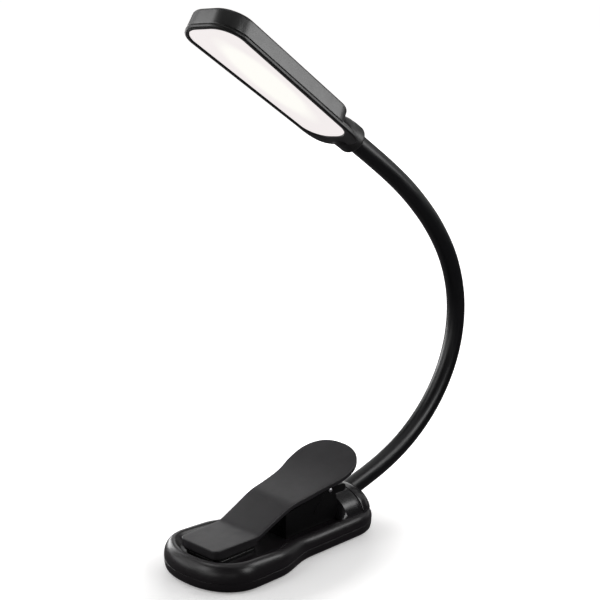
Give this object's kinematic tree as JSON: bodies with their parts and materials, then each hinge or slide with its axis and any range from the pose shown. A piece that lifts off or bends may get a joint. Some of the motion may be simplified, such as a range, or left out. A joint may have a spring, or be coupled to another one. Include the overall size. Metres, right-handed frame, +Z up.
{
  "type": "clip-on reading lamp",
  "caption": "Small clip-on reading lamp: a spring clamp base that also stands on a table, a bendable rubber-sleeved neck and a slim round-ended light bar.",
  "frame": {"origin": "on the underside of the base, on its centre line, under the crease between the lever's ramp and its handle", "axes": "+X to the rear, where the neck leaves the base; -X is the jaw's end; +Z up; the lamp bends and opens in the XZ plane"},
  "size_m": [0.1438, 0.041, 0.1902],
  "materials": {
    "shell": "semi-gloss warm black moulded plastic",
    "vault": "high-gloss black moulded plastic",
    "lever": "satin dark grey moulded plastic",
    "jaw_rubber": "smooth black rubber",
    "sole_rubber": "matte black rubber",
    "neck_rubber": "satin black silicone sleeve",
    "steel": "bare steel",
    "spring_steel": "bright spring wire",
    "cover": "satin mid-grey moulded plastic",
    "frame": "satin near-black moulded plastic",
    "diffuser": "translucent white acrylic, lit from behind",
    "tray": "matte white reflector",
    "board_white": "white circuit board",
    "board_green": "green circuit board",
    "chips": "black epoxy",
    "leds": "yellow phosphor in white packages",
    "cell": "silver pouch",
    "button": "satin dark grey",
    "lens": "clear light pipe"
  },
  "bodies": {
    "base": {"base_shell": "shell", "bottom_cover": "vault", "sole_pad": "sole_rubber", "base_screws": "steel", "rear_vault_cover": "vault", "rear_cap": "vault", "lower_jaw_pad": "jaw_rubber", "hinge_bracket": "vault", "hinge_pin": "steel", "torsion_spring": "spring_steel", "battery_cell": "cell", "main_board": "board_green", "board_chips": "chips", "charge_socket": "steel", "button_switch": "steel", "indicator_lens": "lens", "neck_ferrule_lower": "steel", "neck_sleeve_0": "neck_rubber", "neck_core_0": "steel"},
    "button": {"power_button": "button"},
    "lever": {"clamp_lever": "lever", "upper_jaw_pad": "jaw_rubber", "spring_upper_leg": "spring_steel"},
    "link_1": {"neck_sleeve_1": "neck_rubber", "neck_core_1": "steel"},
    "link_2": {"neck_sleeve_2": "neck_rubber", "neck_core_2": "steel"},
    "link_3": {"neck_sleeve_3": "neck_rubber", "neck_core_3": "steel"},
    "link_4": {"neck_sleeve_4": "neck_rubber", "neck_core_4": "steel"},
    "link_5": {"neck_sleeve_5": "neck_rubber", "neck_core_5": "steel"},
    "link_6": {"neck_sleeve_6": "neck_rubber", "neck_core_6": "steel"},
    "link_7": {"neck_sleeve_7": "neck_rubber", "neck_core_7": "steel"},
    "link_8": {"neck_sleeve_8": "neck_rubber", "neck_core_8": "steel"},
    "link_9": {"neck_sleeve_9": "neck_rubber", "neck_core_9": "steel"},
    "link_10": {"neck_sleeve_10": "neck_rubber", "neck_core_10": "steel"},
    "link_11": {"neck_sleeve_11": "neck_rubber", "neck_core_11": "steel"},
    "head": {"neck_sleeve_12": "neck_rubber", "neck_core_12": "steel", "head_frame": "frame", "head_back_cover": "cover", "diffuser": "diffuser", "reflector_tray": "tray", "led_board": "board_white", "leds": "leds", "board_screws": "steel", "neck_ferrule_upper": "steel"}
  },
  "joints": [
    {"name": "clamp_hinge", "type": "hinge", "parent": "base", "child": "lever", "pos_m": [0.0204, 0, 0.0186], "axis": [0, 1, 0], "range_deg": [0, 32], "stiffness_Nm_per_rad": 0.35, "springref_deg": -34.38},
    {"name": "button_press", "type": "slide", "parent": "base", "child": "button", "axis": [0, -1, 0], "range_m": [0, 0.0004], "stiffness_N_per_m": 400, "springref_m": -0.0005},
    {"name": "neck_turn_low", "type": "hinge", "parent": "base", "child": "link_1", "pos_m": [0.04757, 0, 0.01296], "axis": [-0.2538, 0, 0.9673], "range_deg": [-12, 12]},
    {"name": "neck_bend_1", "type": "hinge", "parent": "link_1", "child": "link_2", "pos_m": [0.05884, 0, 0.01591], "axis": [0, -1, 0], "range_deg": [-12, 3.07]},
    {"name": "neck_bend_2", "type": "hinge", "parent": "link_2", "child": "link_3", "pos_m": [0.07469, 0, 0.02389], "axis": [0, -1, 0], "range_deg": [-15, 3.84]},
    {"name": "neck_bend_3", "type": "hinge", "parent": "link_3", "child": "link_4", "pos_m": [0.08795, 0, 0.0357], "axis": [0, -1, 0], "range_deg": [-18.5, 4.73]},
    {"name": "neck_turn_mid", "type": "hinge", "parent": "link_4", "child": "link_5", "pos_m": [0.09236, 0, 0.0434], "axis": [-0.8678, 0, 0.497], "range_deg": [-12, 12]},
    {"name": "neck_bend_4", "type": "hinge", "parent": "link_5", "child": "link_6", "pos_m": [0.09677, 0, 0.0511], "axis": [0, -1, 0], "range_deg": [-21.5, 5.5]},
    {"name": "neck_bend_5", "type": "hinge", "parent": "link_6", "child": "link_7", "pos_m": [0.09933, 0, 0.06866], "axis": [0, -1, 0], "range_deg": [-22, 5.5]},
    {"name": "neck_bend_6", "type": "hinge", "parent": "link_7", "child": "link_8", "pos_m": [0.09513, 0, 0.08591], "axis": [0, -1, 0], "range_deg": [-17.5, 4.38]},
    {"name": "neck_turn_top", "type": "hinge", "parent": "link_8", "child": "link_9", "pos_m": [0.09053, 0, 0.0935], "axis": [-0.8554, 0, -0.518], "range_deg": [-12, 12]},
    {"name": "neck_bend_7", "type": "hinge", "parent": "link_9", "child": "link_10", "pos_m": [0.08593, 0, 0.10109], "axis": [0, -1, 0], "range_deg": [-11, 2.75]},
    {"name": "neck_bend_8", "type": "hinge", "parent": "link_10", "child": "link_11", "pos_m": [0.07401, 0, 0.11424], "axis": [0, -1, 0], "range_deg": [-7, 1.75]},
    {"name": "neck_bend_9", "type": "hinge", "parent": "link_11", "child": "head", "pos_m": [0.06057, 0, 0.12584], "axis": [0, -1, 0], "range_deg": [-5.5, 1.38]}
  ],
  "couplings": [
    {"joint": "neck_bend_1", "follows": "neck_bend_4", "ratio": 0.55814},
    {"joint": "neck_bend_2", "follows": "neck_bend_4", "ratio": 0.69767},
    {"joint": "neck_bend_3", "follows": "neck_bend_4", "ratio": 0.86047},
    {"joint": "neck_turn_mid", "follows": "neck_turn_low", "ratio": 1},
    {"joint": "neck_bend_6", "follows": "neck_bend_5", "ratio": 0.79545},
    {"joint": "neck_turn_top", "follows": "neck_turn_low", "ratio": 1},
    {"joint": "neck_bend_7", "follows": "neck_bend_5", "ratio": 0.5},
    {"joint": "neck_bend_8", "follows": "neck_bend_5", "ratio": 0.31818},
    {"joint": "neck_bend_9", "follows": "neck_bend_5", "ratio": 0.25}
  ]
}
